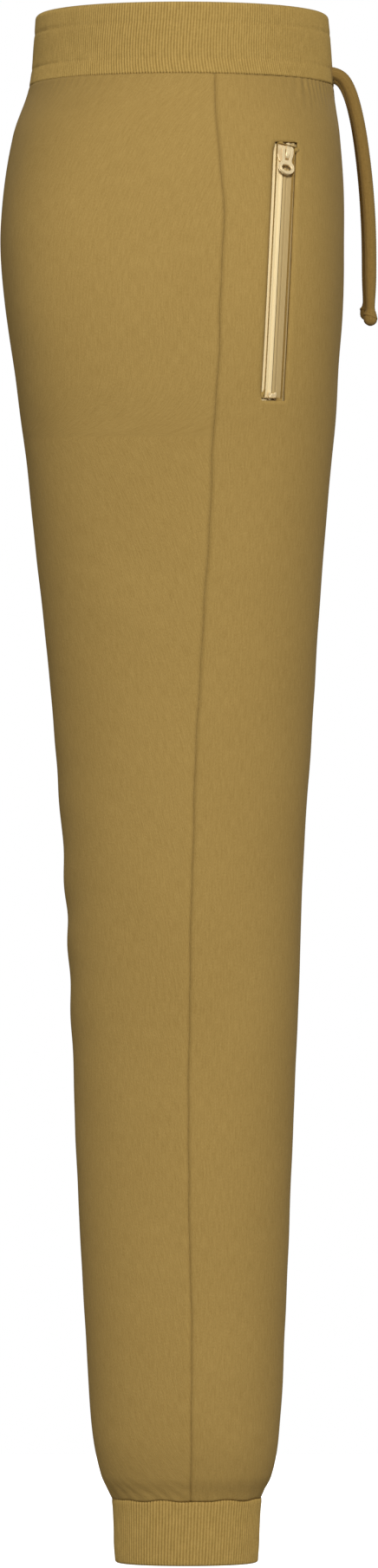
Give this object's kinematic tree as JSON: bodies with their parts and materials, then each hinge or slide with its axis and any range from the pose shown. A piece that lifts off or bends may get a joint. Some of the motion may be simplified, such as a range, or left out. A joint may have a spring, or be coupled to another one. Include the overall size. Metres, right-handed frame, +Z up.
{
  "type": "jogger trousers",
  "caption": "Fleece jogger trousers with a ribbed elastic waistband, a knotted drawcord, zipped side pockets and folded ribbed cuffs.",
  "frame": {"origin": "centre of the waist opening, at the top edge of the waistband", "axes": "+Z up out of the waist, the front faces -Y, the wearer's right leg is on -X"},
  "size_m": [0.3836, 0.2542, 1.041],
  "materials": {
    "fleece": "brushed cotton fleece jersey",
    "rib_knit": "ribbed knit",
    "drawcord": "tubular knitted cord",
    "overlock_thread": "overlocked seam allowance",
    "eyelet_thread": "sewn eyelet",
    "elastic": "woven elastic",
    "pocket_lining": "jersey pocket bag",
    "zip_tape": "woven zip tape, slightly glossy",
    "zip_coil": "moulded coil",
    "zip_metal": "satin plated metal"
  },
  "bodies": {
    "garment": {"waistband": "rib_knit", "waist_elastic": "elastic", "drawcord_run": "drawcord", "waist_seam": "overlock_thread", "front_rise_seam": "overlock_thread", "back_rise_seam": "overlock_thread", "right_front_panel": "fleece", "right_back_panel": "fleece", "right_side_seam": "overlock_thread", "right_inseam": "overlock_thread", "right_cuff": "rib_knit", "right_cuff_seam": "overlock_thread", "right_eyelet": "eyelet_thread", "right_zip_tape_front": "zip_tape", "right_zip_tape_back": "zip_tape", "right_zip_coil_front": "zip_coil", "right_zip_coil_back": "zip_coil", "right_zip_window_welt": "fleece", "right_zip_top_stops": "zip_metal", "right_zip_bottom_stop": "zip_metal", "right_pocket_bag_outer": "pocket_lining", "right_pocket_bag_inner": "pocket_lining", "left_front_panel": "fleece", "left_back_panel": "fleece", "left_side_seam": "overlock_thread", "left_inseam": "overlock_thread", "left_cuff": "rib_knit", "left_cuff_seam": "overlock_thread", "left_eyelet": "eyelet_thread", "left_zip_tape_front": "zip_tape", "left_zip_tape_back": "zip_tape", "left_zip_coil_front": "zip_coil", "left_zip_coil_back": "zip_coil", "left_zip_window_welt": "fleece", "left_zip_top_stops": "zip_metal", "left_zip_bottom_stop": "zip_metal", "left_pocket_bag_outer": "pocket_lining", "left_pocket_bag_inner": "pocket_lining"},
    "right_slider": {"right_zip_slider": "zip_metal"},
    "right_pull": {"right_zip_pull_tab": "zip_metal"},
    "right_cord": {"right_drawcord": "drawcord", "right_drawcord_knot": "drawcord"},
    "left_slider": {"left_zip_slider": "zip_metal"},
    "left_pull": {"left_zip_pull_tab": "zip_metal"},
    "left_cord": {"left_drawcord": "drawcord", "left_drawcord_knot": "drawcord"}
  },
  "joints": [
    {"name": "right_zip_slide", "type": "hinge", "parent": "garment", "child": "right_slider", "pos_m": [0.14036, -0.06273, -0.23228], "axis": [0, -0.9986, -0.0529], "range_deg": [0, 28.26], "deforming": ["right_zip_tape_front", "right_zip_tape_back", "right_zip_coil_front", "right_zip_coil_back"]},
    {"name": "right_pull_pivot", "type": "hinge", "parent": "right_slider", "child": "right_pull", "pos_m": [-0.15117, -0.07031, -0.09789], "axis": [-0.397, 0.8894, 0.2267], "range_deg": [0, 170]},
    {"name": "right_cord_swing", "type": "hinge", "parent": "garment", "child": "right_cord", "pos_m": [-0.022, -0.10133, -0.041], "axis": [0.0873, 0.991, -0.1015], "range_deg": [0, 60]},
    {"name": "left_zip_slide", "type": "hinge", "parent": "garment", "child": "left_slider", "pos_m": [-0.14036, -0.06273, -0.23228], "axis": [0, 0.9986, 0.0529], "range_deg": [0, 28.26], "deforming": ["left_zip_tape_front", "left_zip_tape_back", "left_zip_coil_front", "left_zip_coil_back"]},
    {"name": "left_pull_pivot", "type": "hinge", "parent": "left_slider", "child": "left_pull", "pos_m": [0.15117, -0.07031, -0.09789], "axis": [-0.397, -0.8894, -0.2267], "range_deg": [0, 170]},
    {"name": "left_cord_swing", "type": "hinge", "parent": "garment", "child": "left_cord", "pos_m": [0.022, -0.10133, -0.041], "axis": [0.0873, -0.991, 0.1015], "range_deg": [0, 60]}
  ]
}
